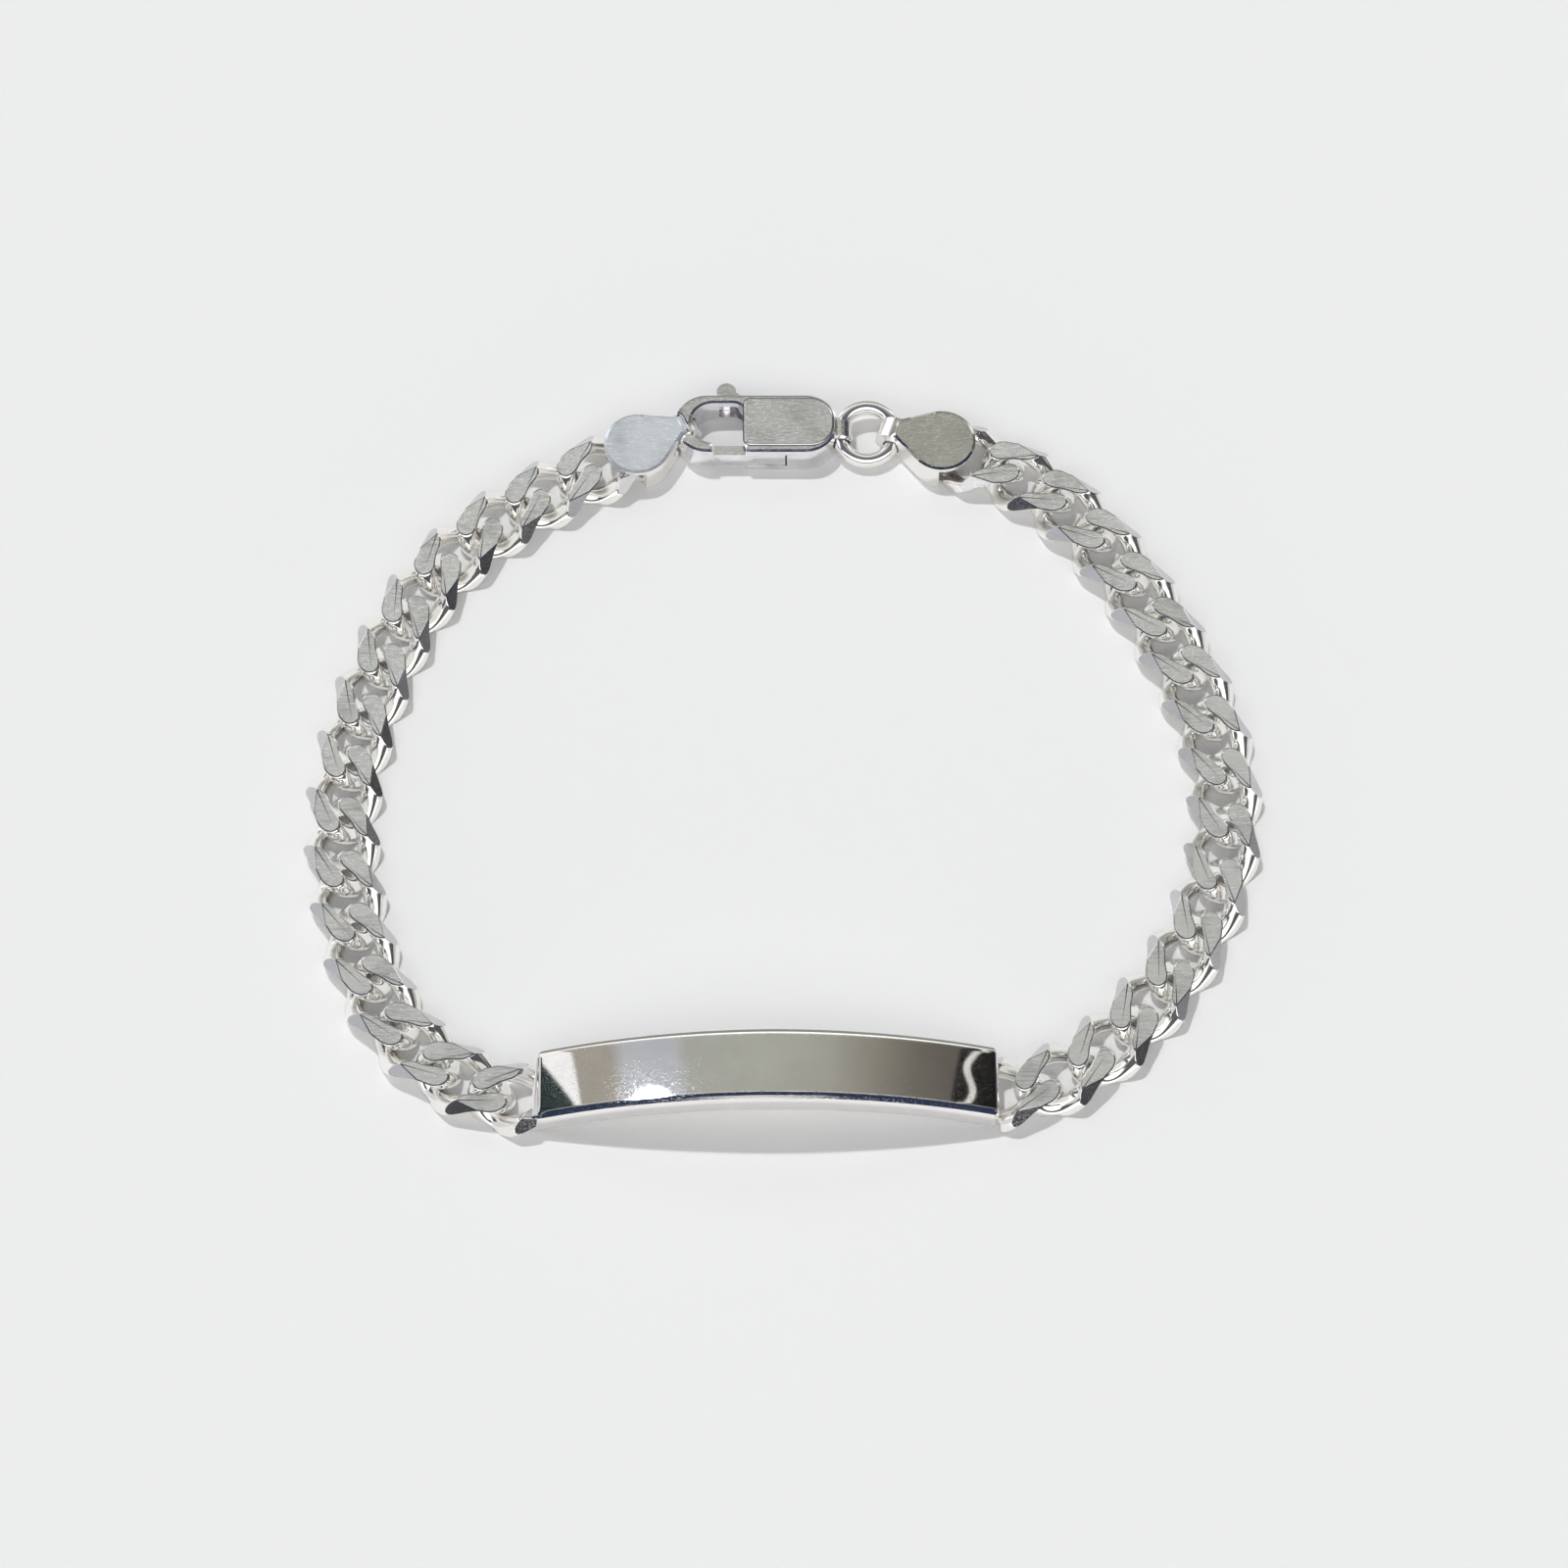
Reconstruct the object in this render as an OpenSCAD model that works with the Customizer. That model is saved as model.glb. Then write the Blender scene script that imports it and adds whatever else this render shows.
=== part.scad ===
// ID bracelet: an arched bare plate and two runs of flat curb links, closed by an oval trigger clasp.
// It lies closed and flat on the XY plane. X runs along the plate, Y from the plate to the clasp, Z up.

/* [Plate] */
// length of the plate between its two ends
plate_l = 34; // [30:0.5:38]
// width of the plate in its middle
plate_w = 5.7; // [5.4:0.05:6]
// how much narrower the plate is at its ends
plate_taper = 0.15; // [0:0.05:0.4]
// thickness of the plate in its middle
plate_t = 2; // [1.6:0.05:2.1]
// thickness of the plate at its ends
plate_end_t = 2.25; // [2:0.05:2.4]
// height that the plate's arch rises from its ends to its middle
plate_rise = 3.55; // [2.5:0.05:4]
// cut across each corner of the plate
plate_corner = 0.35; // [0.1:0.05:0.6]
// length of the point at the plate's front left corner
plate_spur = 0.6; // [0.4:0.1:0.8]
// height of the plate's ends above the surface
plate_lift = 0.05; // [0.05:0.05:0.15]
// angle by which the plate lies turned against the clasp
plate_turn = 0.5; // [0:0.1:1]

/* [Chain] */
// outside length of a link
link_l = 8.2; // [7.9:0.05:8.5]
// outside width of a link
link_w = 5.8; // [5.6:0.05:6.1]
// thickness of a link over its two flat faces
link_t = 2.15; // [2:0.05:2.3]
// width of the link's wire in the plane of the link
wire_w = 1.7; // [1.6:0.02:1.74]
// height of the link's wire across the plane of the link
wire_h = 1.55; // [1.4:0.05:1.6]
// angle by which each end of a link is twisted out of its plane
link_twist = 50; // [46:1:54]
// width of the slanted flats along the link's upper edges
link_bevel = 0.9; // [0.8:0.05:1.1]
// width of the slanted flats along the link's lower edges
link_under_bevel = 0.35; // [0.2:0.05:0.5]
// slack between two links pulled straight
link_play = 0.26; // [0.24:0.02:0.32]
// distance from the plate to the clasp as a share of the length of one run of links
loop_depth = 0.818; // [0.806:0.002:0.824]

/* [End caps] */
// radius of the round end of a cap
cap_r = 2.6; // [2.5:0.05:2.7]
// width of a cap's narrow end
cap_neck_w = 1.7; // [1.5:0.05:1.8]
// straight run of a cap's narrow end
cap_neck_l = 0.3; // [0.2:0.05:0.5]
// thickness of a cap
cap_t = 2.6; // [2.55:0.05:2.8]
// distance from the middle of a cap's eye to the middle of its round end
cap_l = 3.8; // [3.7:0.05:4]
// distance from the middle of a cap's round end to the chain joint in it
cap_joint = 0.45; // [0.3:0.05:0.5]
// gap between a cap and the link in it
cap_gap = 0.1; // [0.08:0.01:0.12]
// angle of the left cap to the plate
cap_turn_left = 28; // [24:1:30]
// angle of the right cap to the plate
cap_turn_right = 18; // [15:1:22]

/* [Jump ring] */
// diameter of the middle line of the jump ring
ring_d = 4.3; // [4.2:0.05:4.4]
// diameter of the jump ring's wire
ring_wire = 1.15; // [1:0.05:1.2]
// angle by which the jump ring leans
ring_tilt = 12; // [8:1:14]

/* [Clasp] */
// length of the clasp's oval without its eye
clasp_l = 12.55; // [12.3:0.05:12.9]
// width of the clasp
clasp_w = 5; // [4.9:0.05:5.2]
// thickness of the clasp
clasp_t = 2.7; // [2.65:0.05:2.8]
// how far the clasp's middle lies to the left of the plate's middle
clasp_side = 0.96; // [0.6:0.02:1.4]
// width of the hook's arm
arm_w = 0.68; // [0.6:0.02:0.76]
// width of the nose and of the gate
gate_w = 0.8; // [0.74:0.02:0.86]
// length of the clasp's closed part
case_l = 7.1; // [7:0.05:7.3]
// distance from the hook's end to the tip of its nose
nose_l = 2.9; // [2.6:0.05:3]
// radius of the thin bar in the hook that the left cap hangs on
bar_r = 0.48; // [0.42:0.02:0.5]
// radius of the eye at the clasp's tail
tail_r = 1.08; // [1.02:0.02:1.14]
// width of the eye at the clasp's tail
tail_w = 1.4; // [1.2:0.05:1.5]

/* [Lever] */
// thickness of the lever
lever_t = 1.55; // [1.4:0.05:1.6]
// radius of the lever's hub
hub_r = 0.8; // [0.74:0.02:0.84]
// radius of the pin
pin_r = 0.4; // [0.34:0.02:0.44]
// radius of the thumb knob
knob_r = 0.75; // [0.65:0.05:0.8]

/* [Clearances] */
// running gap between the pin and the lever's bore
pin_fit = 0.04; // [0.02:0.01:0.06]
// gap between the pin and its holes in the clasp
pin_seat = 0.02; // [0.015:0.005:0.03]
// gap above and below the lever in the clasp
lever_gap = 0.05; // [0.04:0.01:0.08]
// gap at the tip of the gate
gate_gap = 0.12; // [0.1:0.01:0.15]
// gap round a wire or bar that hangs in an eye
eye_gap = 0.12; // [0.1:0.01:0.14]

/* [Hidden] */
$fn = 64;
// a small overlap that makes cuts clean
cut = 0.1;
// how far joined pieces run into each other
weld = 0.35;
// number of loose links in each run
run_links = 15;
// corners along a link and round its wire in the mesh
link_steps = 16;
wire_sides = 6;
// half length and half width of a link along its wire's middle
link_a = (link_l - wire_w) / 2;
link_b = (link_w - wire_w) / 2;
// the twist is complete at this share of the link's half length
twist_run = 0.86 * link_a;
// distance from one joint of the chain to the next
pitch = link_l - 2 * wire_w - link_play;
// how the chain lies: a turn in degrees at the joint with this number, counted from the plate
turns_left = [[0, 18], [1, 16.8], [3, 5.8], [5, 8.8], [8, 4.4], [10, 13], [12, 6.3], [13, 5.2]];
turns_right = [[0, 15], [1, 7.2], [3, 7.8], [5, 11.2], [8, 5.2], [10, 3.2], [12, 13], [13, 12.5]];
// the half link at each end of the plate: how far out along the plate and across it, as shares of
// a link's length, and its heading
half_left = [0.138, -0.098, 172];
half_right = [0.0866, -0.032, 8.5];
// where the plate's middle lies in the frame, whose origin is under the middle of the whole
plate_x = -1.174;
plate_y = -28.03;
// middle of the clasp's oval
clasp_x = plate_x - clasp_side;
clasp_y = plate_y + loop_depth * run_links * pitch;
// outside radius and middle height of the clasp and the caps
clasp_r = clasp_w / 2;
eye_z = cap_t / 2;
// middle line of the hook's opening, measured from the oval's middle
mouth_y = (gate_w - arm_w) / 2;
mouth_r = clasp_r - (gate_w + arm_w) / 2;
mouth_end = clasp_l / 2 - case_l;
mouth_corner = mouth_r * 0.57;
mouth_start = mouth_r + arm_w + 1.125 * bar_r - clasp_l / 2;
nose_x = nose_l - clasp_l / 2;
// the ring lies this far in front of the clasp's middle line
ring_drop = 0.18;
// the thin bar of the hook and the middle of the ring
bar_x = 1.083 * bar_r - clasp_l / 2;
bar_reach = 0.85 * mouth_r;
eye_left = [clasp_x + bar_x, clasp_y + mouth_y];
ring_x = clasp_x + clasp_l / 2 + eye_gap + ring_d / 2;
ring_mid = [ring_x, clasp_y + mouth_y - ring_drop];
eye_right = ring_mid + ring_d / 2 * aim(-cap_turn_right / 5);
// the joints of the two runs of links
joint_reach = cap_l + cap_joint;
half_mid_left = [plate_x - plate_l / 2 - half_left[0] * link_l, plate_y + half_left[1] * link_l];
half_mid_right = [plate_x + plate_l / 2 + half_right[0] * link_l, plate_y + half_right[1] * link_l];
start_left = half_mid_left + pitch / 2 * aim(half_left[2]);
start_right = half_mid_right + pitch / 2 * aim(half_right[2]);
finish_left = eye_left - joint_reach * aim(cap_turn_left);
finish_right = eye_right + joint_reach * aim(-cap_turn_right);
// the slot for the lever in the clasp, and the lever in it
lever_drop = 0.02;
lever_z = (clasp_t - lever_t) / 2 - lever_drop;
slot_z = lever_z - lever_gap;
slot_h = lever_t + 2 * lever_gap;
slot_play = 0.12;
slot_back = 0.8 * clasp_r;
// pivot, elbow and thumb knob of the lever, measured from the oval's middle
pivot = [mouth_end + 0.32 * case_l, 1.16 * gate_w - clasp_r];
elbow = [pivot[0] - 0.162 * case_l, 0.492 * clasp_r];
knob = [pivot[0] - 0.528 * case_l, 1.272 * clasp_r];
gate_front = -0.976 * clasp_r;
lever_arm_w = 0.9;
knob_neck_w = 0.8;
// the clasp's inner wall beside the opening
wall_t = 0.3;
wall_l = 0.9;
wall_y = -clasp_r / 3;
// the window behind the slot, where the thumb lever comes out
window = [knob[0] - knob_r + slot_play, elbow[0] + 0.131 * case_l];
// the room for the last link inside a cap: share of the cap and wire, and reach past the link's tip
room_share = 0.512;
room_reach = 0.25;
// the piece of link soldered in a cap: where it starts past the link's tip, and share of the cap's width
inner_start = 0.3;
inner_share = 0.83;
// corners of the plate's large arc and of the ring's wire
arc_steps = 128;
ring_steps = 32;
// limits of the scale of the chain's turns, and how many halvings find it
least_turn = 0.3;
most_turn = 1.6;
halvings = 30;

// a unit step in the plane
function aim(a) = [cos(a), sin(a)];
function total(v, n) = n <= 0 ? 0 : v[n - 1] + total(v, n - 1);

// how a run lies: headings of its links for a scale of its turns
function turn_list(table, k) = [for (i = [0 : run_links - 2]) k * lookup(i, table)];
function heading_list(table, k) = [for (i = [0 : run_links - 1]) total(turn_list(table, k), i)];
function run_end(h) = pitch * [total([for (a = h) cos(a)], len(h)), total([for (a = h) sin(a)], len(h))];
// the scale of turns at which the run just spans its two joints, by halving
function turn_scale(table, span, lo, hi, steps) =
  let (mid = (lo + hi) / 2)
  steps == 0 ? mid :
  norm(run_end(heading_list(table, mid))) > span
    ? turn_scale(table, span, mid, hi, steps - 1) : turn_scale(table, span, lo, mid, steps - 1);
// place and heading of every link of a run; side is 1 for a run that turns left
function run_places(table, side, from, to) =
  let (k = turn_scale(table, norm(to - from), least_turn, most_turn, halvings),
       h = [for (a = heading_list(table, k)) side * a],
       e = run_end(h),
       base = atan2(to[1] - from[1], to[0] - from[0]) - atan2(e[1], e[0]),
       g = [for (a = h) a + base])
  [for (i = [0 : run_links - 1])
    let (before = i == 0 ? [0, 0] : run_end([for (j = [0 : i - 1]) g[j]]))
    [from[0] + before[0] + pitch / 2 * cos(g[i]), from[1] + before[1] + pitch / 2 * sin(g[i]), g[i]]];
places_left = run_places(turns_left, -1, start_left, finish_left);
places_right = run_places(turns_right, 1, start_right, finish_right);

// a point on the link's middle line, an oval with straight sides, with the way its outside faces
straight = 2 * (link_a - link_b);
bend = PI * link_b;
function oval_at(v) =
  v < straight ? [v - straight / 2, link_b, 90] :
  v < straight + bend
    ? let (a = 90 - (v - straight) / bend * 180)
      [straight / 2 + link_b * cos(a), link_b * sin(a), a] :
  v < 2 * straight + bend ? [straight * 1.5 + bend - v, -link_b, -90] :
    let (a = -90 - (v - 2 * straight - bend) / bend * 180)
    [link_b * cos(a) - straight / 2, link_b * sin(a), a];
// the twist grows from the link's middle and levels out towards its ends
function twist_at(x) = let (u = max(-1, min(1, x / twist_run))) link_twist * (u * u * u - 3 * u) / 2;
function twisted(p) = let (a = twist_at(p[0]))
  [p[0], p[1] * cos(a) - p[2] * sin(a), p[1] * sin(a) + p[2] * cos(a)];
function wire_at(q, a) = twisted([q[0] + wire_w / 2 * cos(a) * cos(q[2]),
  q[1] + wire_w / 2 * cos(a) * sin(q[2]), wire_h / 2 * sin(a)]);
link_points = [for (i = [0 : link_steps - 1]) for (j = [0 : wire_sides - 1])
  wire_at(oval_at((i + 0.25) / link_steps * 2 * (straight + bend)), (j + 0.5) * 360 / wire_sides)];
function corner(i, j) = (i % link_steps) * wire_sides + j % wire_sides;
link_faces = [for (i = [0 : link_steps - 1]) for (j = [0 : wire_sides - 1]) for (half = [0, 1])
  half == 0 ? [corner(i, j), corner(i + 1, j), corner(i + 1, j + 1)]
    : [corner(i, j), corner(i + 1, j + 1), corner(i, j + 1)]];

// the flats ground on the chain: top, bottom and the slanted edges, as one long bar
module ground_bar(x0, x1) {
  w = link_w / 2;
  h = link_t / 2;
  under = link_under_bevel;
  translate([x0, 0, h])
    rotate([90, 0, 90])
      linear_extrude(x1 - x0)
        polygon([[w, under - h], [w, h - link_bevel], [w - link_bevel, h], [link_bevel - w, h],
          [-w, h - link_bevel], [-w, under - h], [under - w, -h], [w - under, -h]]);
}
module curb_link(x0 = -link_l, x1 = link_l) {
  intersection() {
    translate([0, 0, link_t / 2]) polyhedron(link_points, link_faces);
    ground_bar(x0, x1);
  }
}
module link_in(places, number) {
  p = places[number - 1];
  translate([p[0], p[1], 0]) rotate(p[2]) curb_link();
}

// radius of an arc over the plate's length that rises this far
function bow_of(rise) = (plate_l * plate_l / 4 + rise * rise) / (2 * rise);
module plate_slab() {
  half = plate_l / 2;
  top = plate_lift + plate_end_t + plate_rise;
  under = top - plate_t;
  bow = bow_of(plate_rise);
  hollow = bow_of(under - plate_lift);
  narrow = (plate_w - plate_taper) / 2;
  intersection() {
    rotate([90, 0, 0])
      difference() {
        translate([0, top - bow, -plate_w]) cylinder(h = 2 * plate_w, r = bow, $fn = arc_steps);
        translate([0, under - hollow, -2 * plate_w]) cylinder(h = 4 * plate_w, r = hollow, $fn = arc_steps);
      }
    translate([0, 0, plate_lift]) linear_extrude(top)
      polygon([[-half, plate_spur - narrow], [-half - plate_spur, -narrow], [0, -plate_w / 2],
        [half - plate_corner, -narrow], [half, plate_corner - narrow],
        [half, narrow - plate_corner], [half - plate_corner, narrow], [0, plate_w / 2],
        [plate_corner - half, narrow], [-half, narrow - plate_corner]]);
  }
}
module plate() {
  color("silver") {
    union() {
      translate([plate_x, plate_y, 0]) rotate(plate_turn) plate_slab();
      half_link(half_mid_left, half_left[2], half_left[0] * link_l);
      half_link(half_mid_right, half_right[2], half_right[0] * link_l);
    }
  }
}
// the soldered half link: the part of a link from the plate's end outwards
module half_link(mid, heading, out) {
  translate([mid[0], mid[1], 0]) rotate(heading) curb_link(-out - weld, link_l);
}

// the drop shaped outline of a cap, its eye at the origin and its round end towards +X
module cap_outline() {
  w = cap_neck_w / 2;
  run = cap_l - cap_neck_l;
  slope = asin(cap_r / norm([run, w])) - atan2(w, run);
  tip = [cap_l - cap_r * sin(slope), cap_r * cos(slope)];
  translate([cap_l, 0]) circle(cap_r);
  polygon([[-eye_z, -w], [cap_neck_l, -w], [tip[0], -tip[1]], [cap_l, 0],
    [tip[0], tip[1]], [cap_neck_l, w], [-eye_z, w]]);
}
module cap_solid() {
  link_tip = joint_reach - (link_l - pitch) / 2;
  room_r = room_share * (cap_r + wire_w);
  room_x = link_tip - room_reach + room_r;
  difference() {
    intersection() {
      linear_extrude(cap_t) cap_outline();
      union() {
        translate([0, cap_r, eye_z]) rotate([90, 0, 0]) cylinder(h = 2 * cap_r, r = eye_z);
        translate([0, -cap_r - cut, 0]) cube([cap_l + 2 * cap_r, 2 * (cap_r + cut), cap_t]);
      }
    }
    translate([room_x, 0, -cut]) cylinder(h = link_t + cap_gap + cut, r = room_r);
    translate([room_x, -link_w, -cut]) cube([link_l, 2 * link_w, link_t + cap_gap + cut]);
  }
  intersection() {
    translate([joint_reach - pitch / 2, 0, 0]) curb_link();
    translate([link_tip + inner_start, -inner_share * cap_r, -cut])
      cube([link_l, 2 * inner_share * cap_r, cap_t]);
  }
}
module end_cap_left() {
  color("gainsboro") {
    difference() {
      translate([eye_left[0], eye_left[1], 0]) rotate(180 + cap_turn_left) cap_solid();
      hook_bar(eye_gap, cap_t);
    }
  }
}
module end_cap_right() {
  color("gainsboro") {
    difference() {
      translate([eye_right[0], eye_right[1], 0]) rotate(-cap_turn_right) cap_solid();
      ring(eye_gap);
    }
  }
}
// the thin bar of the hook
module hook_bar(extra, reach) {
  translate([eye_left[0], eye_left[1] + reach, eye_z])
    rotate([90, 0, 0]) cylinder(h = 2 * reach, r = bar_r + extra);
}
module ring(extra) {
  translate([ring_mid[0], ring_mid[1], eye_z])
    rotate([ring_tilt, 0, 0])
      rotate_extrude() translate([ring_d / 2, 0]) circle(ring_wire / 2 + extra, $fn = ring_steps);
}
module jump_ring() {
  color("lightgray") ring(0);
}

module clasp_outline() {
  flat = clasp_l / 2 - clasp_r;
  translate([-flat, 0]) circle(clasp_r);
  translate([flat, 0]) circle(clasp_r);
  translate([-flat, -clasp_r]) square([2 * flat, clasp_w]);
}
// the hook's opening, with the way in at the front that the gate closes
module mouth_outline() {
  right = mouth_end - mouth_corner;
  translate([mouth_start, mouth_y]) circle(mouth_r);
  translate([mouth_start, mouth_y - mouth_r]) square([right - mouth_start, 2 * mouth_r]);
  translate([mouth_start, mouth_y - mouth_r])
    square([mouth_end - mouth_start, 2 * mouth_r - mouth_corner]);
  translate([right, mouth_y + mouth_r - mouth_corner]) circle(mouth_corner);
  translate([nose_x, -clasp_r - cut]) square([mouth_end - nose_x, clasp_r]);
}
module slot_outline() {
  edge = pivot[0] + hub_r + slot_play;
  translate([mouth_end - cut, -clasp_r - cut])
    square([edge - mouth_end + cut, clasp_r + cut + slot_back]);
  translate([window[0], elbow[1]]) square([window[1] - window[0], clasp_r]);
}
module clasp_body() {
  color("silver") {
    translate([clasp_x, clasp_y, 0]) {
      difference() {
        linear_extrude(clasp_t) clasp_outline();
        translate([0, 0, -cut]) linear_extrude(clasp_t + 2 * cut) mouth_outline();
        translate([0, 0, slot_z]) linear_extrude(slot_h) slot_outline();
        translate([pivot[0], pivot[1], -cut])
          cylinder(h = slot_z + slot_h + 3 * cut, r = pin_r + pin_seat);
        translate([bar_x, mouth_y, 0]) rotate(180 + cap_turn_left) cap_room();
        translate([-clasp_x, -clasp_y, 0]) ring(eye_gap);
      }
      translate([mouth_end, wall_y, slot_z - cut]) cube([wall_t, wall_l, slot_h + 2 * cut]);
    }
    intersection() {
      hook_bar(0, bar_reach);
      translate([clasp_x, clasp_y, 0]) linear_extrude(clasp_t) clasp_outline();
    }
    difference() {
      translate([clasp_x + clasp_l / 2 + eye_gap, ring_mid[1] + tail_w / 2, eye_z])
        rotate([90, 0, 0]) cylinder(h = tail_w, r = tail_r);
      ring(eye_gap);
    }
  }
}
// the room round a cap's narrow end
module cap_room() {
  w = cap_neck_w / 2 + eye_gap;
  translate([0, w, eye_z]) rotate([90, 0, 0]) cylinder(h = 2 * w, r = eye_z + eye_gap);
  translate([0, 0, -cut])
    linear_extrude(clasp_t + 2 * cut)
      intersection() {
        offset(delta = eye_gap) cap_outline();
        translate([0, -clasp_r]) square([cap_l, clasp_w]);
      }
}

module beam(from, to, width) {
  d = to - from;
  translate([from[0], from[1]])
    rotate(atan2(d[1], d[0])) translate([0, -width / 2]) square([norm(d), width]);
  translate([to[0], to[1]]) circle(width / 2);
}
module clasp_lever() {
  tip = nose_x + gate_gap;
  color("whitesmoke")
    translate([clasp_x, clasp_y, lever_z])
      difference() {
        linear_extrude(lever_t) {
          translate([tip, gate_front]) square([pivot[0] + hub_r - tip, gate_w]);
          translate([pivot[0], pivot[1]]) circle(hub_r);
          beam(pivot, elbow, lever_arm_w);
          beam(elbow, knob, knob_neck_w);
          translate([knob[0], knob[1]]) circle(knob_r);
        }
        translate([pivot[0], pivot[1], -cut]) cylinder(h = lever_t + 2 * cut, r = pin_r + pin_fit);
      }
}
module lever_pin() {
  color("darkgray")
    translate([clasp_x + pivot[0], clasp_y + pivot[1], cut / 2])
      cylinder(h = slot_z + slot_h + cut, r = pin_r);
}

module link_left_01() { color("lightgray") link_in(places_left, 1); }
module link_left_02() { color("lightgray") link_in(places_left, 2); }
module link_left_03() { color("lightgray") link_in(places_left, 3); }
module link_left_04() { color("lightgray") link_in(places_left, 4); }
module link_left_05() { color("lightgray") link_in(places_left, 5); }
module link_left_06() { color("lightgray") link_in(places_left, 6); }
module link_left_07() { color("lightgray") link_in(places_left, 7); }
module link_left_08() { color("lightgray") link_in(places_left, 8); }
module link_left_09() { color("lightgray") link_in(places_left, 9); }
module link_left_10() { color("lightgray") link_in(places_left, 10); }
module link_left_11() { color("lightgray") link_in(places_left, 11); }
module link_left_12() { color("lightgray") link_in(places_left, 12); }
module link_left_13() { color("lightgray") link_in(places_left, 13); }
module link_left_14() { color("lightgray") link_in(places_left, 14); }
module link_left_15() { color("lightgray") link_in(places_left, 15); }
module link_right_01() { color("lightgray") link_in(places_right, 1); }
module link_right_02() { color("lightgray") link_in(places_right, 2); }
module link_right_03() { color("lightgray") link_in(places_right, 3); }
module link_right_04() { color("lightgray") link_in(places_right, 4); }
module link_right_05() { color("lightgray") link_in(places_right, 5); }
module link_right_06() { color("lightgray") link_in(places_right, 6); }
module link_right_07() { color("lightgray") link_in(places_right, 7); }
module link_right_08() { color("lightgray") link_in(places_right, 8); }
module link_right_09() { color("lightgray") link_in(places_right, 9); }
module link_right_10() { color("lightgray") link_in(places_right, 10); }
module link_right_11() { color("lightgray") link_in(places_right, 11); }
module link_right_12() { color("lightgray") link_in(places_right, 12); }
module link_right_13() { color("lightgray") link_in(places_right, 13); }
module link_right_14() { color("lightgray") link_in(places_right, 14); }
module link_right_15() { color("lightgray") link_in(places_right, 15); }

plate();
link_left_01();
link_left_02();
link_left_03();
link_left_04();
link_left_05();
link_left_06();
link_left_07();
link_left_08();
link_left_09();
link_left_10();
link_left_11();
link_left_12();
link_left_13();
link_left_14();
link_left_15();
link_right_01();
link_right_02();
link_right_03();
link_right_04();
link_right_05();
link_right_06();
link_right_07();
link_right_08();
link_right_09();
link_right_10();
link_right_11();
link_right_12();
link_right_13();
link_right_14();
link_right_15();
end_cap_left();
end_cap_right();
jump_ring();
clasp_body();
clasp_lever();
lever_pin();
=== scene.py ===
"""ID bracelet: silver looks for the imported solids. Sizes are in millimetres unless said."""
import math

import bmesh
import bpy
import numpy as np
from mathutils import Matrix, Vector


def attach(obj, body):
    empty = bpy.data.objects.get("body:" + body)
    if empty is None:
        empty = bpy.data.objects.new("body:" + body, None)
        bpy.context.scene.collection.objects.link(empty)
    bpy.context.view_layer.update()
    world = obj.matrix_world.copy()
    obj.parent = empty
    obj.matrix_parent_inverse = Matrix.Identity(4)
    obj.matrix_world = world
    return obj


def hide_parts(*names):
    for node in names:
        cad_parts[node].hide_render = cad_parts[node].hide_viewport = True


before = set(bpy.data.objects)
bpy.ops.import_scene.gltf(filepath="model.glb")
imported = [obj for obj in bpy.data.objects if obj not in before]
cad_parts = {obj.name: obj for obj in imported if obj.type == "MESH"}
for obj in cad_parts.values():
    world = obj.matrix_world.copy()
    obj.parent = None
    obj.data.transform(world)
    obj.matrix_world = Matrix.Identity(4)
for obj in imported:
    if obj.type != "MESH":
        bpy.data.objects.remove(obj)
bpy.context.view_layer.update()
MM = 0.001

# The photograph's view, and where its middle lies in the frame
VIEW_ELEVATION = 63
VIEW_DISTANCE = 555.6
VIEW_LENS = 168.75
VIEW_TARGET = (0.0154, -2.1295)

# The links' wire, twist and ground flats
LINK_L = 8.2
LINK_W = 5.8
LINK_T = 2.15
WIRE_W = 1.7
WIRE_H = 1.55
LINK_TWIST = 50
LINK_BEVEL = 0.9
LINK_UNDER_BEVEL = 0.35
# The share of the link's half length in which it twists
TWIST_REACH = 0.86
# The slight rim of the upper flats
FLAT_RIM = 0.09
FLAT_RISE = 0.03
RUN_LINKS = 15

# The arched plate, its slightly domed top and its rounded edges
PLATE_L = 34
PLATE_W = 5.7
PLATE_TAPER = 0.15
PLATE_T = 2
PLATE_END_T = 2.25
PLATE_RISE = 3.55
PLATE_LIFT = 0.05
PLATE_TURN = 0.5
PLATE_SPUR = 0.6
PLATE_CORNER = 0.35
PLATE_X = -1.174
PLATE_Y = -28.03
PLATE_DOME = 0.07
PLATE_EDGE = 0.32
PLATE_SLOPE = 0.32
# The chamfer's softened foot, as (in from the side, down from the shoulder's fall)
PLATE_FOOT = [(0, 0.1), (0.02, 0.03), (0.06, 0)]
PLATE_BROW = (0.04, 0.01)
PLATE_STATIONS = 96
DOME_STEPS = 8

# The half links soldered to the plate: out along it, across it, and the way they head, and how
# much of each reaches into the plate
HALF_LEFT = (1.132, -0.804, 172)
HALF_RIGHT = (0.71, -0.262, 8.5)
HALF_DEEP = 0.3

# The clasp's middle and thickness, and the raised cover on it, measured from that middle
CLASP_X = -2.134
CLASP_Y = 27.676
CLASP_T = 2.7
COVER_START = -0.95
COVER_END = 5.95
COVER_W = 4.1
COVER_SIDE = 0.1
COVER_ROUND = 1.75
COVER_FRONT_CORNER = 0.55
COVER_BACK_CORNER = 0.5
CORNER_STEPS = 8
# Rims of the cover, and of the flat dark band around it that stands in for the groove's shade
# (painted shade): (growth of the outline, height over the crown)
COVER_RIMS = [(0, -0.2), (0, 0.02), (-0.03, 0.07), (-0.12, 0.1)]
GROOVE_SHADE_RIMS = [(-0.02, 0.015), (0.06, 0.015)]

# The soft rim around the upper faces of the caps and the clasp
RIM_W = 0.2
RIM_RISE = 0.07

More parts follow.
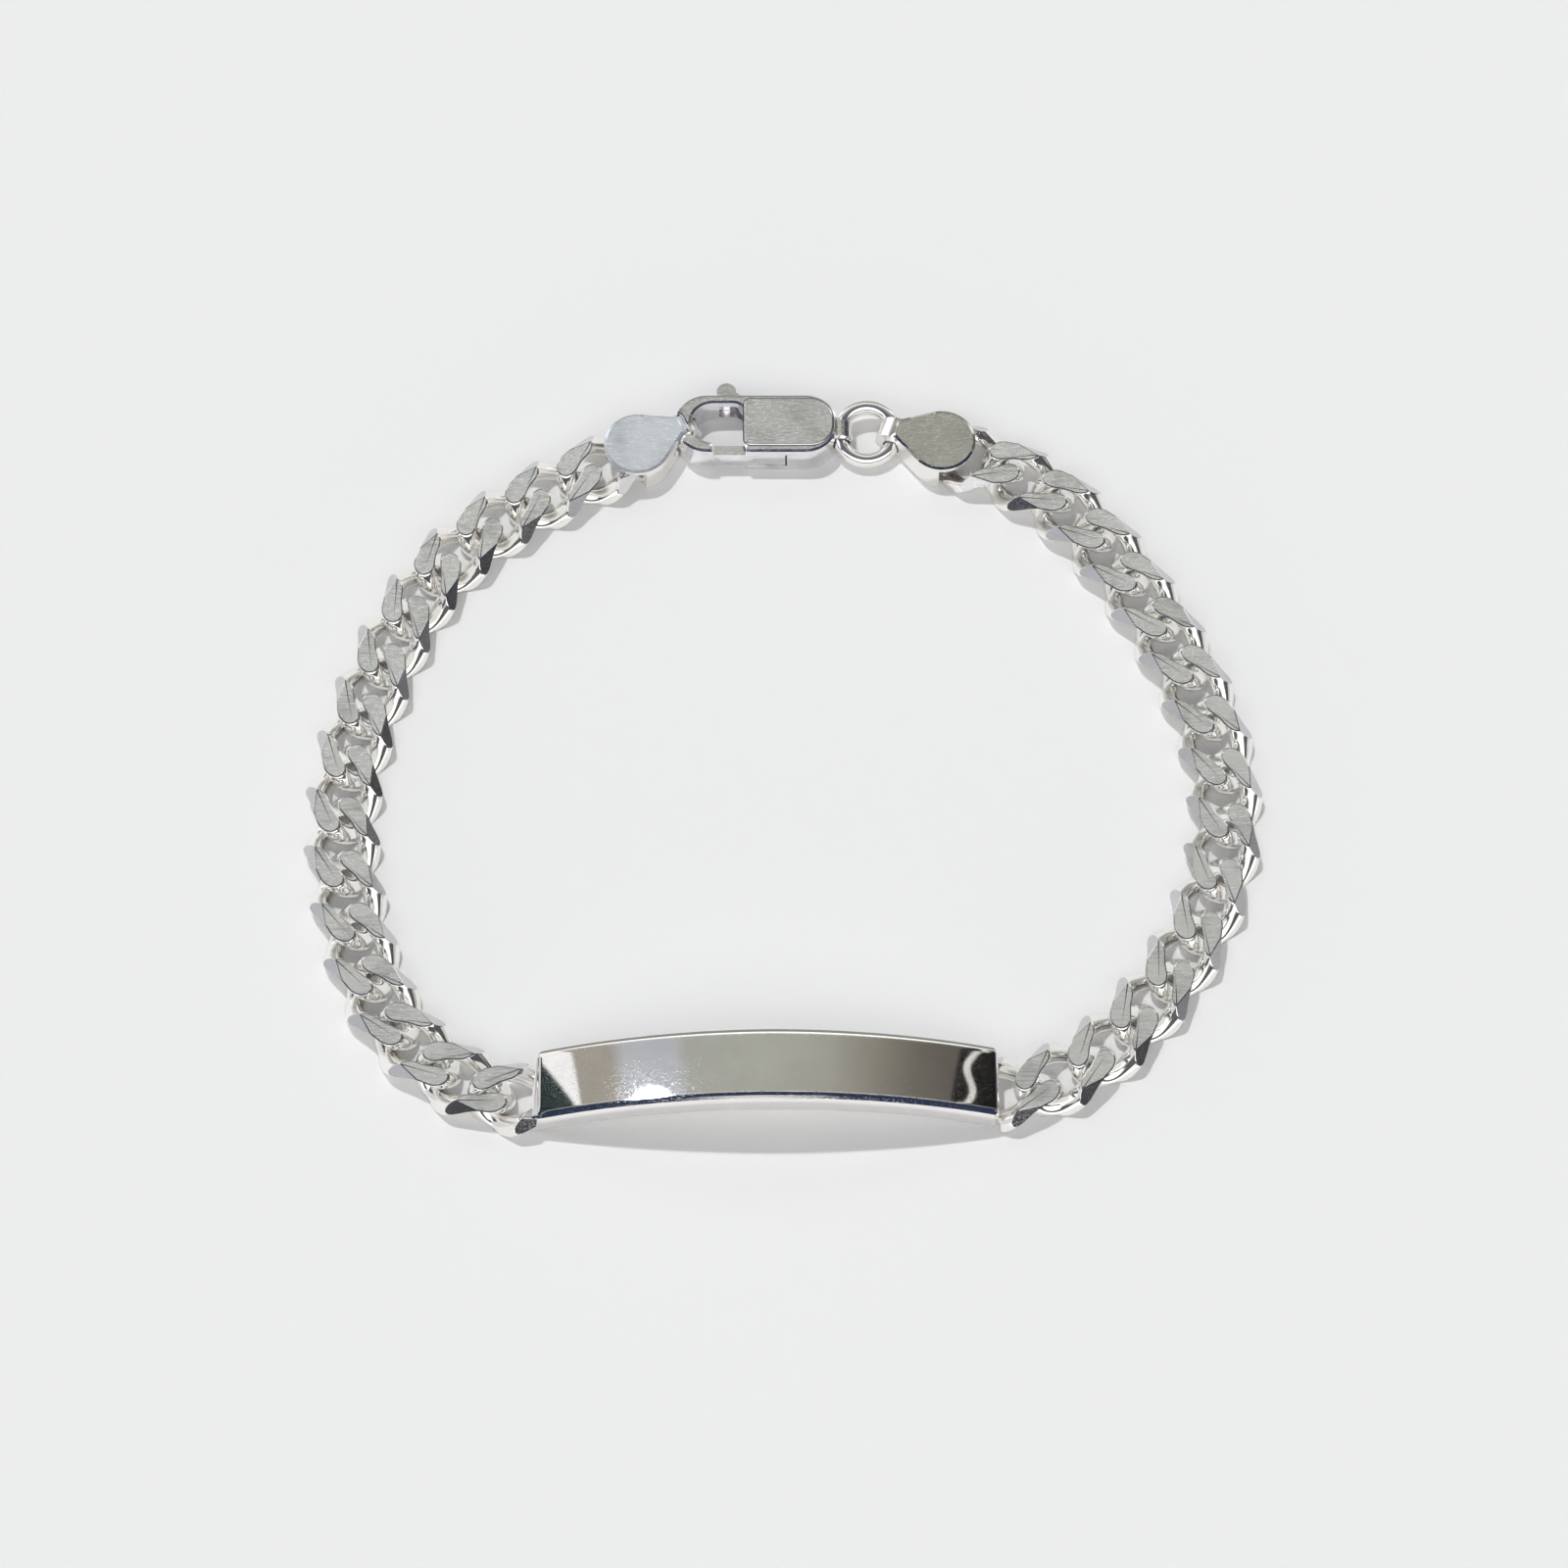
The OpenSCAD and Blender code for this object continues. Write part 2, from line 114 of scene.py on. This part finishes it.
# The link's middle line: half its length and half its width
link_a = (LINK_L - WIRE_W) / 2
link_b = (LINK_W - WIRE_W) / 2

# A face looks straight up where its normal's height is above this
UPWARD = 0.99


def new_piece(name, bm, materials, body="bracelet"):
    """Turns a bmesh in millimetres into a piece of the scene that rides on a body."""
    bmesh.ops.scale(bm, vec=(MM, MM, MM), verts=bm.verts)
    mesh = bpy.data.meshes.new(name)
    bm.to_mesh(mesh)
    bm.free()
    for material in materials:
        mesh.materials.append(material)
    piece = bpy.data.objects.new(name, mesh)
    bpy.context.scene.collection.objects.link(piece)
    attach(piece, body)
    return piece


# Materials
HAIR_TURNS = (24, 118)
SCRATCH_TURNS = (15, 72, 128, 160)
SCRATCH_CUT = (0.66, 0.74)
SCRATCH_ROUGHNESS = 0.12
BUMP_STRENGTH = 0.5
BUMP_DEPTH = 0.003


def noise(tree, coords, scale, stretch, turn, detail=2.0, shift=0.0):
    """A noise texture, stretched along one way and turned in the plane; scale is per millimetre."""
    mapping = tree.nodes.new("ShaderNodeMapping")
    mapping.inputs["Location"].default_value = (shift, shift, 0)
    mapping.inputs["Rotation"].default_value = (0, 0, math.radians(turn))
    mapping.inputs["Scale"].default_value = (scale / MM / stretch, scale / MM, scale / MM)
    tree.links.new(coords, mapping.inputs["Vector"])
    texture = tree.nodes.new("ShaderNodeTexNoise")
    texture.inputs["Scale"].default_value = 1
    texture.inputs["Detail"].default_value = detail
    tree.links.new(mapping.outputs["Vector"], texture.inputs["Vector"])
    return texture.outputs["Fac"]


def ramp(tree, value, low, high, out_low=0.0, out_high=1.0):
    """A smooth step from out_low at low to out_high at high."""
    node = tree.nodes.new("ShaderNodeMapRange")
    node.interpolation_type = "SMOOTHSTEP"
    node.inputs["From Min"].default_value = low
    node.inputs["From Max"].default_value = high
    node.inputs["To Min"].default_value = out_low
    node.inputs["To Max"].default_value = out_high
    tree.links.new(value, node.inputs["Value"])
    return node.outputs["Result"]


def combine(tree, operation, a, b=0):
    """A Math node over two values, each given as a number or as a socket."""
    node = tree.nodes.new("ShaderNodeMath")
    node.operation = operation
    for socket, value in zip(node.inputs, (a, b)):
        if isinstance(value, (int, float)):
            socket.default_value = value
        else:
            tree.links.new(value, socket)
    return node.outputs["Value"]


def silver(name, tint, roughness, scratches=0.0, streaks=0.0, dents=0.0, turns=SCRATCH_TURNS,
           metallic=1.0, grain_and_sheen=0.0):
    """Polished silver: fine scratches each way, streaks along X, shallow dents, and lighter
    hairlines in the colour as painted sheen of scratches over a random tone.
    """
    material = bpy.data.materials.new(name)
    material.use_nodes = True
    tree = material.node_tree
    shader = tree.nodes["Principled BSDF"]
    shader.inputs["Metallic"].default_value = metallic
    coords = tree.nodes.new("ShaderNodeTexCoord").outputs["Object"]
    patches = noise(tree, coords, 0.35, 1, 0)
    cloud = tree.nodes.new("ShaderNodeMix")
    cloud.data_type = "RGBA"
    cloud.inputs[6].default_value = (*[c * 0.95 for c in tint], 1)
    cloud.inputs[7].default_value = (*tint, 1)
    # Painted sheen: lighter hairlines in the colour stand in for scratches catching the light, over
    # a random darker tone
    if grain_and_sheen:
        cloud.inputs[6].default_value = (*[c * (1 - grain_and_sheen) for c in tint], 1)
        hair_sheen = combine(tree, "MAXIMUM", noise(tree, coords, 5, 9, HAIR_TURNS[0], 3.0, 1.3),
                        noise(tree, coords, 5, 9, HAIR_TURNS[1], 3.0, 5.1))
        patches = combine(tree, "ADD", combine(tree, "MULTIPLY", patches, 0.7),
                          combine(tree, "MULTIPLY", hair_sheen, 0.5))
    tree.links.new(ramp(tree, patches, 0.35, 0.7), cloud.inputs[0])
    tree.links.new(cloud.outputs[2], shader.inputs["Base Color"])
    height = combine(tree, "MULTIPLY", noise(tree, coords, 0.5, 1, 0), dents)
    marks = 0.0
    for number, turn in enumerate(turns if scratches else ()):
        line = noise(tree, coords, 26 + 4 * number, 16, turn, 1.0, 3.7 * number)
        marks = combine(tree, "MAXIMUM", marks, ramp(tree, line, *SCRATCH_CUT))
    if scratches:
        height = combine(tree, "SUBTRACT", height, combine(tree, "MULTIPLY", marks, scratches))
    if streaks:
        streak = noise(tree, coords, 14, 60, 0, 3.0)
        height = combine(tree, "ADD", height, combine(tree, "MULTIPLY", streak, streaks))
    rough = combine(tree, "ADD", ramp(tree, patches, 0.3, 0.7, roughness * 0.8, roughness * 1.2),
                    combine(tree, "MULTIPLY", marks, SCRATCH_ROUGHNESS))
    tree.links.new(rough, shader.inputs["Roughness"])
    bump = tree.nodes.new("ShaderNodeBump")
    bump.inputs["Strength"].default_value = BUMP_STRENGTH
    bump.inputs["Distance"].default_value = BUMP_DEPTH * MM
    tree.links.new(height, bump.inputs["Height"])
    tree.links.new(bump.outputs["Normal"], shader.inputs["Normal"])
    return material


SILVER = (0.95, 0.93, 0.9)
wire = silver("wire_polish", (1.0, 0.985, 0.95), 0.06, dents=0.5, metallic=0.9)
flat = silver("link_flat", (1.0, 0.99, 1.0), 0.07, scratches=0.9, dents=0.2, metallic=0.86,
              grain_and_sheen=0.34)
# Painted shade: the slanted flats and the upper flats' rims are the same silver as the upper flats,
# darkened in colour to stand in for the darker reflections they show
facet_shaded = silver("link_facet", (0.66, 0.655, 0.67), 0.07, scratches=0.4, dents=0.25, metallic=0.95,
               grain_and_sheen=0.15)
plate_top = silver("plate_polish", SILVER, 0.015, scratches=0.35, streaks=0.35, dents=0.06,
                   turns=(8, 150))
edge = silver("plate_edge", (1.0, 0.98, 0.97), 0.06, dents=0.2, metallic=0.5)
# The two end caps are the same silver: the left cap's crown gets a lighter bluish copy as painted
# sheen, the right cap's crown a darker copy as painted shade
cap_painted_sheen = silver("cap_painted_sheen", (0.9, 0.94, 1.0), 0.14, scratches=1.2, dents=0.7, metallic=0.65,
                    grain_and_sheen=0.35)
cap_painted_shade = silver("cap_painted_shade", (0.74, 0.72, 0.68), 0.08, scratches=1.2, dents=0.25, grain_and_sheen=0.15)
cap_side = silver("cap_side", (1.0, 0.975, 0.94), 0.08, dents=0.4, metallic=0.6)
ring = silver("ring_polish", SILVER, 0.06, dents=0.4, metallic=0.85)
clasp = silver("clasp_polish", (0.93, 0.92, 0.93), 0.08, scratches=1.0, dents=0.3, metallic=0.96,
               grain_and_sheen=0.25)
# Painted shade: a near-black copy of the silver for the flat band that stands in for the shade in
# the groove around the clasp's cover
groove = silver("groove_painted_shade", (0.1, 0.1, 0.11), 0.3, dents=0.5)
steel = silver("pin_polish", (0.8, 0.79, 0.77), 0.15, scratches=0.5)


# Curb links
def oval(steps):
    """Points along the link's middle line, each with the way it faces outwards, in degrees."""
    straight = 2 * (link_a - link_b)
    bend = math.pi * link_b
    points = []
    for step in range(steps):
        run = (step + 0.25) / steps * 2 * (straight + bend)
        if run < straight:
            points.append((run - straight / 2, link_b, 90))
        elif run < straight + bend:
            turn = 90 - math.degrees((run - straight) / link_b)
            points.append((straight / 2 + link_b * math.cos(math.radians(turn)),
                           link_b * math.sin(math.radians(turn)), turn))
        elif run < 2 * straight + bend:
            points.append((straight * 1.5 + bend - run, -link_b, -90))
        else:
            turn = -90 - math.degrees((run - 2 * straight - bend) / link_b)
            points.append((link_b * math.cos(math.radians(turn)) - straight / 2,
                           link_b * math.sin(math.radians(turn)), turn))
    return points


def twisted(x, y, z):
    """A point of the flat oval, turned about the link's length so that the link lies twisted."""
    share = max(-1, min(1, x / (TWIST_REACH * link_a)))
    turn = math.radians(LINK_TWIST * (share ** 3 - 3 * share) / 2)
    return (x, y * math.cos(turn) - z * math.sin(turn), y * math.sin(turn) + z * math.cos(turn))


def slice_off(bm, point, outward, material):
    """Cuts away what lies beyond a plane and closes the cut with flat faces."""
    everything = bm.verts[:] + bm.edges[:] + bm.faces[:]
    done = bmesh.ops.bisect_plane(bm, geom=everything, dist=1e-6, plane_co=point, plane_no=outward,
                                  clear_outer=True)
    rim = [e for e in done["geom_cut"] if isinstance(e, bmesh.types.BMEdge)]
    if rim:
        for face in bmesh.ops.edgeloop_fill(bm, edges=rim, mat_nr=material)["faces"]:
            face.material_index = material
            face.smooth = False


def link_mesh(steps=72, sides=30):
    """A twisted link with ground flats: the wire is 0, flats 1, slanted flats and rims 2."""
    bm = bmesh.new()
    rings = []
    for x, y, turn in oval(steps):
        ring = []
        for side in range(sides):
            angle = 2 * math.pi * side / sides
            out = WIRE_W / 2 * math.cos(angle)
            ring.append(bm.verts.new(twisted(x + out * math.cos(math.radians(turn)),
                                             y + out * math.sin(math.radians(turn)),
                                             WIRE_H / 2 * math.sin(angle))))
        rings.append(ring)
    for one, two in zip(rings, rings[1:] + rings[:1]):
        for side in range(sides):
            after = (side + 1) % sides
            bm.faces.new((one[side], two[side], two[after], one[after])).smooth = True
    bmesh.ops.recalc_face_normals(bm, faces=bm.faces)
    high = LINK_T / 2
    wide = LINK_W / 2
    for up in (1, -1):
        slice_off(bm, (0, 0, up * high), (0, 0, up), 1)
    for across in (1, -1):
        slice_off(bm, (0, across * wide, high - LINK_BEVEL), (0, across, 1), 2)
        slice_off(bm, (0, across * wide, LINK_UNDER_BEVEL - high), (0, across, -1), 2)
    bmesh.ops.recalc_face_normals(bm, faces=bm.faces)
    bmesh.ops.translate(bm, vec=(0, 0, high), verts=bm.verts)
    upper = [f for f in bm.faces if f.material_index == 1 and f.normal.z > UPWARD]
    rims = bmesh.ops.inset_individual(bm, faces=upper, thickness=FLAT_RIM, depth=FLAT_RISE,
                                      use_even_offset=False)["faces"]
    for face in rims:
        face.material_index = 2
        face.smooth = False
    return bm


def lie_of(centres, areas):
    """Middle and heading of a link's surface, from where its faces lie."""
    centres = np.array(centres)
    areas = np.array(areas)
    middle = (centres * areas[:, None]).sum(0) / areas.sum()
    spread = (centres - middle).T @ ((centres - middle) * areas[:, None])
    values, ways = np.linalg.eigh(spread)
    return middle, math.atan2(ways[1, 1], ways[0, 1])


def placed(x, y, heading):
    """The move to a place in the plane, after a turn to a heading in radians."""
    return Matrix.Translation((x, y, 0)) @ Matrix.Rotation(heading, 4, "Z")


# The heading that lie_of finds for a link that lies along X
sample = link_mesh()
own_turn = lie_of([f.calc_center_median()[:2] for f in sample.faces],
                  [f.calc_area() for f in sample.faces])[1]
sample.free()
for side in ("left", "right"):
    for number in range(1, RUN_LINKS + 1):
        node = f"link_{side}_{number:02d}"
        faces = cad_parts[node].data.polygons
        middle, heading = lie_of([f.center[:2] for f in faces], [f.area for f in faces])
        bm = link_mesh()
        bm.transform(placed(middle[0] / MM, middle[1] / MM, heading - own_turn))
        link = new_piece(f"{node}_wire", bm, [wire, flat, facet_shaded])
        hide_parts(node)


# Plate
def bow_of(rise):
    """Radius of an arc over the plate's length that rises this far."""
    half = PLATE_L / 2
    return (half * half + rise * rise) / (2 * rise)


def plate_section(width, top, under):
    """The slab's outline as (across, height): a slight dome between two chamfers."""
    rim = width - PLATE_EDGE
    shoulder = top - PLATE_DOME
    foot = shoulder - PLATE_EDGE * PLATE_SLOPE
    side = [(-width, under)]
    side += [(inward - width, foot - down) for inward, down in PLATE_FOOT]
    side.append((-rim - PLATE_BROW[0], shoulder - PLATE_BROW[1]))
    shares = [step / DOME_STEPS for step in range(-DOME_STEPS, DOME_STEPS + 1)]
    upper = [(rim * share, top - PLATE_DOME * share ** 2) for share in shares]
    return side + upper + [(-y, z) for y, z in reversed(side)]


def plate_mesh():
    """The arched slab, swept along its length: top and chamfers are 0, sides and underside 1."""
    half = PLATE_L / 2
    crown = PLATE_LIFT + PLATE_END_T + PLATE_RISE
    hollow = crown - PLATE_T
    bow = bow_of(PLATE_RISE)
    bow_under = bow_of(hollow - PLATE_LIFT)
    bm = bmesh.new()
    rings = []
    for station in range(PLATE_STATIONS + 1):
        x = half * (2 * station / PLATE_STATIONS - 1)
        width = PLATE_W / 2 - PLATE_TAPER / 2 * abs(x) / half
        top = crown - bow + math.sqrt(bow * bow - x * x)
        under = hollow - bow_under + math.sqrt(bow_under ** 2 - x * x)
        spur = PLATE_SPUR if station == 0 else 0
        rings.append([bm.verts.new((x - max(0, spur - width - y), y, z))
                      for y, z in plate_section(width, top, under)])
    # along the outline lie a side, the first chamfer, the dome, the second chamfer and a side
    count = len(rings[0])
    chamfer = len(PLATE_FOOT)
    far_chamfer = count - 2 - chamfer
    for one, two in zip(rings, rings[1:]):
        for k in range(count):
            after = (k + 1) % count
            face = bm.faces.new((one[k], two[k], two[after], one[after]))
            face.material_index = 0 if chamfer <= k <= far_chamfer else 1
            face.smooth = k not in (chamfer, far_chamfer, count - 1)
    bm.faces.new(rings[0]).material_index = 1
    bm.faces.new(rings[-1]).material_index = 1
    bmesh.ops.recalc_face_normals(bm, faces=bm.faces)
    narrow = (PLATE_W - PLATE_TAPER) / 2
    for end, across in ((-1, 1), (1, -1), (1, 1)):
        slice_off(bm, (end * half, across * (narrow - PLATE_CORNER), 0), (end, across, 0), 1)
    bm.transform(placed(PLATE_X, PLATE_Y, math.radians(PLATE_TURN)))
    return bm


slab = new_piece("plate_slab", plate_mesh(), [plate_top, edge])
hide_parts("plate")

for name, (out, across, heading), end in (("left", HALF_LEFT, -1), ("right", HALF_RIGHT, 1)):
    bm = link_mesh()
    slice_off(bm, (-out - HALF_DEEP, 0, 0), (-1, 0, 0), 0)
    bm.transform(placed(PLATE_X + end * (PLATE_L / 2 + out), PLATE_Y + across,
                        math.radians(heading)))
    new_piece(f"plate_half_link_{name}", bm, [wire, flat, facet_shaded])

# The caps, the ring and the clasp keep their solids
for node, material in (("end_cap_left", cap_side), ("end_cap_right", cap_side),
                       ("jump_ring", ring), ("clasp_body", clasp), ("clasp_lever", clasp),
                       ("lever_pin", steel)):
    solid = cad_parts[node]
    solid.data.materials.clear()
    solid.data.materials.append(material)


def crown_mesh(node):
    """The upper face of a cap or the clasp again, with a soft sloping rim."""
    bm = bmesh.new()
    bm.from_mesh(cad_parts[node].data)
    bmesh.ops.scale(bm, vec=(1 / MM, 1 / MM, 1 / MM), verts=bm.verts)
    top = max(v.co.z for v in bm.verts)
    spare = [f for f in bm.faces if f.normal.z < UPWARD or f.calc_center_median().z < top - 0.01]
    bmesh.ops.delete(bm, geom=spare, context="FACES")
    for face in bm.faces:
        face.smooth = False
    rim = bmesh.ops.inset_region(bm, faces=bm.faces[:], thickness=RIM_W, depth=RIM_RISE,
                                 use_boundary=True, use_even_offset=True)["faces"]
    for face in rim:
        face.smooth = True
    return bm


# Crowns: the left cap's is lighter with painted sheen, the right cap's darker with painted shade
for node, material in (("end_cap_left", cap_painted_sheen), ("end_cap_right", cap_painted_shade),
                       ("clasp_body", clasp)):
    new_piece(f"{node}_crown", crown_mesh(node), [material])


def cover_outline(grow=0.0):
    """The cover's outline in the clasp's own plane: square at the opening, round at the tail."""
    points = []
    for x, y, radius, start in ((COVER_END, 1, COVER_ROUND, 90), (COVER_END, -1, COVER_ROUND, 0),
                                (COVER_START, -1, COVER_FRONT_CORNER, -90),
                                (COVER_START, 1, COVER_BACK_CORNER, 180)):
        end = 1 if x == COVER_END else -1
        for step in range(CORNER_STEPS + 1):
            turn = math.radians(start - 90 * step / CORNER_STEPS)
            points.append((x - end * radius + (radius + grow) * math.cos(turn),
                           y * (COVER_W / 2 - radius) + (radius + grow) * math.sin(turn)))
    return points


def cover_mesh(rims, closed):
    """Bands of faces between outlines of the cover, with a lid on the last one if it is closed."""
    bm = bmesh.new()
    loops = [[bm.verts.new((x, y, CLASP_T + RIM_RISE + high)) for x, y in cover_outline(grow)]
             for grow, high in rims]
    for one, two in zip(loops, loops[1:]):
        for k in range(len(one)):
            after = (k + 1) % len(one)
            bm.faces.new((one[k], one[after], two[after], two[k])).smooth = closed
    if closed:
        bm.faces.new(loops[-1])
    bmesh.ops.recalc_face_normals(bm, faces=bm.faces)
    bmesh.ops.translate(bm, vec=(CLASP_X, CLASP_Y + COVER_SIDE, 0), verts=bm.verts)
    return bm


# The clasp's raised cover over the lever's case, with a fine groove around it drawn as a flat dark
# band over the crown: painted shade
new_piece("clasp_cover", cover_mesh(COVER_RIMS, True), [clasp])
new_piece("clasp_cover_groove_shade", cover_mesh(GROOVE_SHADE_RIMS, False), [groove])

# Floor: a wide pale disc, in metres, a hair below the part
FLOOR_RADIUS = 3
FLOOR_DROP = 0.00002
FLOOR_TONE = (0.965, 0.962, 0.954)
floor_mesh = bpy.data.meshes.new("floor")
bm = bmesh.new()
bmesh.ops.create_circle(bm, cap_ends=True, segments=64, radius=FLOOR_RADIUS)
bm.to_mesh(floor_mesh)
bm.free()
floor = bpy.data.objects.new("floor", floor_mesh)
bpy.context.scene.collection.objects.link(floor)
floor.location.z = -FLOOR_DROP
pale = bpy.data.materials.new("pale_floor")
pale.use_nodes = True
pale_shader = pale.node_tree.nodes["Principled BSDF"]
pale_shader.inputs["Base Color"].default_value = (*FLOOR_TONE, 1)
pale_shader.inputs["Roughness"].default_value = 0.9
pale_shader.inputs["Specular IOR Level"].default_value = 0.2
floor_mesh.materials.append(pale)

# Studio light: one small key lamp high at the back left, in a pale room with dark and grey parts.
# The metal mirrors the room's glint and not the lamp itself.
KEY_FROM = (-0.213, 0.326, 1)
KEY_STRENGTH = 1.16
KEY_ANGLE = 2.5
key_data = bpy.data.lights.new("key", "SUN")
key_data.energy = KEY_STRENGTH
key_data.angle = math.radians(KEY_ANGLE)
key = bpy.data.objects.new("key", key_data)
key.rotation_euler = Vector(KEY_FROM).to_track_quat("Z", "Y").to_euler()
bpy.context.scene.collection.objects.link(key)
key.visible_glossy = False

ROOM = (1.4, 1.4, 1.39)
# A side of the room: the way to it, degrees of its full tone and of its edge, and its tone
ROOM_SIDES = [
    ((-1, 0.1, 0.25), 30, 45, (0.66, 0.66, 0.68)),
    ((1, 0.1, 0.25), 30, 45, (0.6, 0.6, 0.61)),
    ((0, 1, 0.1), 30, 42, (0.27, 0.28, 0.26)),
    ((0.85, 0.4, 0.33), 15, 25, (0.05, 0.05, 0.05)),
    ((0.86, -0.4, 0.34), 4, 12, (0.3, 0.3, 0.31)),
    ((-0.66, -0.64, 0.39), 6, 11, (0.05, 0.05, 0.1)),
]
# The dark gap overhead: where it lies across and how far it reaches
GAP_Y = -0.04
GAP_FULL = 0.3
GAP_EDGE = 0.34
GAP_FROM = (0.45, 0.6)
GAP_TONE = (0.03, 0.04, 0.08)
# A low dark rail at the front and right of the room: its height, reach, way and tone
RAIL_UP = 0.33
RAIL_FULL = 0.09
RAIL_EDGE = 0.14
RAIL_WAY = (0.6, -0.8, 0)
RAIL_ENDS = (-0.2, 0.1)
RAIL_TONE = (0.03, 0.03, 0.035)
# The lamp's glint that the plate mirrors: the way to it, degrees of its light and edge, its tone
GLINT = ((-0.39, 0.28, 0.88), 4, 5, (6, 6.4, 7))
# The ceiling band that the plate mirrors: where it lies across, and its tones from left to right
BAND_Y = 0.454
BAND_FULL = 0.13
BAND_EDGE = 0.2
BAND_FROM = (0.3, 0.4)
BAND_TONES = [(-0.75, (1, 1, 1)), (-0.594, (0.98, 0.98, 1)), (-0.586, (0.36, 0.34, 0.3)),
              (-0.49, (0.36, 0.34, 0.3)), (-0.45, (0.48, 0.5, 0.54)), (-0.3, (0.46, 0.48, 0.52)),
              (-0.26, (0.4, 0.41, 0.38)), (0, (0.4, 0.41, 0.37)), (0.2, (0.36, 0.36, 0.32)),
              (0.36, (0.23, 0.22, 0.19)), (0.48, (0.15, 0.14, 0.12)), (0.57, (0.12, 0.11, 0.1)),
              (0.58, (0.012, 0.012, 0.012)), (0.8, (0.012, 0.012, 0.012))]
# The dark corner at the band's left end, beyond a slanting edge
CORNER_SLANT = 0.42
CORNER_EDGE = (-0.464, -0.474)
CORNER_TONE = (0.02, 0.035, 0.035)
# The bright wavy line in its black right end
WAVE_AT = 0.615
WAVE_COUNT = 38
WAVE_SWING = 0.014
WAVE_EDGE = (0.012, 0.006)
WAVE_TONE = (0.75, 0.75, 0.72)


def blend(tree, share, under, over):
    """Mixes two tones, each given as numbers or as a socket."""
    mix = tree.nodes.new("ShaderNodeMix")
    mix.data_type = "RGBA"
    tree.links.new(share, mix.inputs[0])
    for socket, tone in ((mix.inputs[6], under), (mix.inputs[7], over)):
        if isinstance(tone, tuple):
            socket.default_value = (*tone, 1)
        else:
            tree.links.new(tone, socket)
    return mix.outputs[2]


def distance(tree, value, middle):
    """How far a value is from a middle, either way."""
    return combine(tree, "ABSOLUTE", combine(tree, "SUBTRACT", value, middle))


def toward(tree, way, direction):
    """How much the way looked along agrees with a direction: 1 along it, 0 square to it."""
    node = tree.nodes.new("ShaderNodeVectorMath")
    node.operation = "DOT_PRODUCT"
    node.inputs[1].default_value = direction
    tree.links.new(way, node.inputs[0])
    return node.outputs["Value"]


def spot(tree, way, under, direction, inner, outer, over):
    """Lays a round spot of a tone over the room, full to the inner angle and gone at the outer."""
    near = toward(tree, way, Vector(direction).normalized())
    share = ramp(tree, near, math.cos(math.radians(outer)), math.cos(math.radians(inner)))
    return blend(tree, share, under, over)


def ceiling_band(tree, along, across):
    """The tones that the plate mirrors, from its left end to its right."""
    tones = tree.nodes.new("ShaderNodeValToRGB")
    steps = tones.color_ramp.elements
    while len(steps) < len(BAND_TONES):
        steps.new(0.5)
    for step, (where, tone) in zip(steps, BAND_TONES):
        step.position = (where + 1) / 2
    for step, (where, tone) in zip(steps, BAND_TONES):
        step.color = (*tone, 1)
    share = combine(tree, "MULTIPLY", combine(tree, "ADD", along, 1), 0.5)
    tree.links.new(share, tones.inputs[0])
    slant = combine(tree, "ADD", along, combine(tree, "MULTIPLY", across, CORNER_SLANT))
    band = blend(tree, ramp(tree, slant, *CORNER_EDGE), tones.outputs["Color"], CORNER_TONE)
    wave = combine(tree, "SINE", combine(tree, "MULTIPLY", across, WAVE_COUNT))
    off = distance(tree, combine(tree, "SUBTRACT", along, WAVE_AT),
                   combine(tree, "MULTIPLY", wave, WAVE_SWING))
    return blend(tree, ramp(tree, off, *WAVE_EDGE), band, WAVE_TONE)


def room():
    """The room that lights the scene and shows in the metal, as tones by the way looked along."""
    world = bpy.data.worlds.new("room")
    bpy.context.scene.world = world
    world.use_nodes = True
    tree = world.node_tree
    background = tree.nodes["Background"]
    unit = tree.nodes.new("ShaderNodeVectorMath")
    unit.operation = "NORMALIZE"
    tree.links.new(tree.nodes.new("ShaderNodeTexCoord").outputs["Generated"], unit.inputs[0])
    way = unit.outputs["Vector"]
    parts = tree.nodes.new("ShaderNodeSeparateXYZ")
    tree.links.new(way, parts.inputs[0])
    along, across, up = parts.outputs
    tone = ROOM
    for side in ROOM_SIDES:
        tone = spot(tree, way, tone, *side)
    rail = combine(tree, "MULTIPLY",
                   ramp(tree, distance(tree, up, RAIL_UP), RAIL_EDGE, RAIL_FULL),
                   ramp(tree, toward(tree, way, RAIL_WAY), *RAIL_ENDS))
    tone = blend(tree, rail, tone, RAIL_TONE)
    gap = combine(tree, "MULTIPLY",
                  ramp(tree, distance(tree, across, GAP_Y), GAP_EDGE, GAP_FULL),
                  ramp(tree, up, *GAP_FROM))
    tone = blend(tree, gap, tone, GAP_TONE)
    inside = combine(tree, "MULTIPLY",
                     ramp(tree, distance(tree, across, BAND_Y), BAND_EDGE, BAND_FULL),
                     ramp(tree, up, *BAND_FROM))
    tone = blend(tree, inside, tone, ceiling_band(tree, along, across))
    tone = spot(tree, way, tone, *GLINT)
    tree.links.new(tone, background.inputs["Color"])
    background.inputs["Strength"].default_value = 1.0


room()

# Camera
camera_data = bpy.data.cameras.new("camera")
camera_data.sensor_width = 36
camera_data.lens = VIEW_LENS
camera_data.clip_start = 0.01
camera = bpy.data.objects.new("camera", camera_data)
tilt = math.radians(VIEW_ELEVATION)
camera.location = Vector((VIEW_TARGET[0], VIEW_TARGET[1] - VIEW_DISTANCE * math.cos(tilt),
                          VIEW_DISTANCE * math.sin(tilt))) * MM
camera.rotation_euler = (math.pi / 2 - tilt, 0, 0)
bpy.context.scene.collection.objects.link(camera)
bpy.context.scene.camera = camera
bpy.context.scene.view_settings.view_transform = "Standard"
